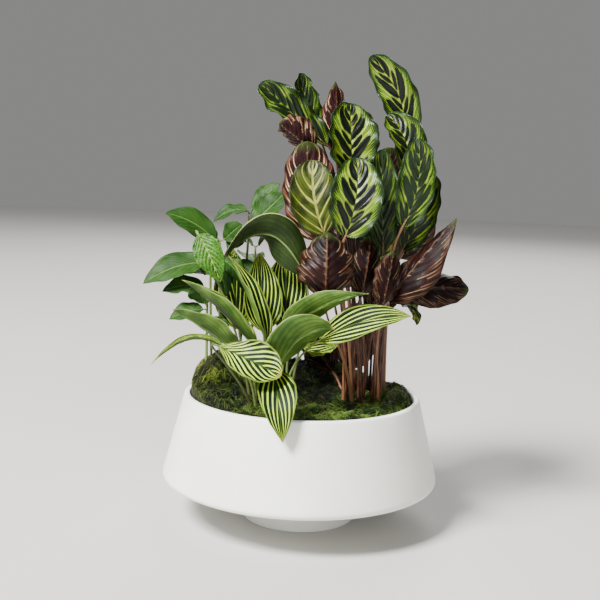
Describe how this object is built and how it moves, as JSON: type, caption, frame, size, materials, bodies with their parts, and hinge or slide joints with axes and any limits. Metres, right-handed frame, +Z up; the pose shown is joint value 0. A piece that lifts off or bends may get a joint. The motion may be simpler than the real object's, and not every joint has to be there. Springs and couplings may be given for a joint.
{
  "type": "mixed prayer plant arrangement in a bowl planter",
  "caption": "Prayer plants with peacock-patterned and striped leaves and a green foliage plant, set in moss in a low matte white bowl planter.",
  "frame": {"origin": "centre of the flat underside of the bowl's foot, on the surface that it stands on", "axes": "+Z up, -Y the front that the picture shows, +X to its right"},
  "size_m": [0.3546, 0.306, 0.5106],
  "materials": {
    "ceramic": "matte white",
    "mix": "rough peat",
    "moss": "rough living moss",
    "brown_stalk": "satin, reddish brown",
    "green_stalk": "satin, pale green",
    "peacock_blade": "glossy, patterned green above and maroon below",
    "striped_blade": "satin, cream stripes on green above and plain green below",
    "mottled_blade": "satin, bright green with pale veins",
    "green_blade": "satin green"
  },
  "bodies": {
    "root": {"bowl": "ceramic", "potting_mix": "mix", "moss": "moss", "peacock_stalks": "brown_stalk", "striped_stalks": "green_stalk", "peacock_leaf_01": "peacock_blade", "peacock_leaf_02": "peacock_blade", "peacock_leaf_03": "peacock_blade", "peacock_leaf_04": "peacock_blade", "peacock_leaf_05": "peacock_blade", "peacock_leaf_06": "peacock_blade", "peacock_leaf_07": "peacock_blade", "peacock_leaf_08": "peacock_blade", "peacock_leaf_09": "peacock_blade", "peacock_leaf_10": "peacock_blade", "peacock_leaf_11": "peacock_blade", "peacock_leaf_12": "peacock_blade", "peacock_leaf_13": "peacock_blade", "peacock_leaf_14": "peacock_blade", "peacock_leaf_15": "peacock_blade", "peacock_leaf_16": "peacock_blade", "peacock_leaf_17": "peacock_blade", "peacock_leaf_18": "peacock_blade", "peacock_leaf_19": "peacock_blade", "peacock_leaf_20": "peacock_blade", "peacock_leaf_21": "peacock_blade", "peacock_leaf_22": "peacock_blade", "peacock_leaf_23": "peacock_blade", "peacock_leaf_24": "peacock_blade", "peacock_leaf_25": "peacock_blade", "peacock_leaf_26": "peacock_blade", "peacock_leaf_27": "peacock_blade", "peacock_leaf_28": "peacock_blade", "peacock_leaf_29": "peacock_blade", "striped_leaf_01": "striped_blade", "striped_leaf_02": "striped_blade", "striped_leaf_03": "striped_blade", "striped_leaf_04": "striped_blade", "striped_leaf_05": "striped_blade", "striped_leaf_06": "striped_blade", "striped_leaf_07": "striped_blade", "striped_leaf_08": "striped_blade", "striped_leaf_09": "striped_blade", "striped_leaf_10": "striped_blade", "striped_leaf_11": "striped_blade", "striped_leaf_12": "striped_blade", "striped_leaf_13": "striped_blade", "striped_leaf_14": "striped_blade", "striped_leaf_15": "striped_blade", "mottled_leaf": "mottled_blade", "green_stem_1": "green_blade", "green_stem_2": "green_blade", "green_stem_3": "green_blade", "green_stem_4": "green_blade", "green_stem_5": "green_blade"}
  },
  "joints": []
}
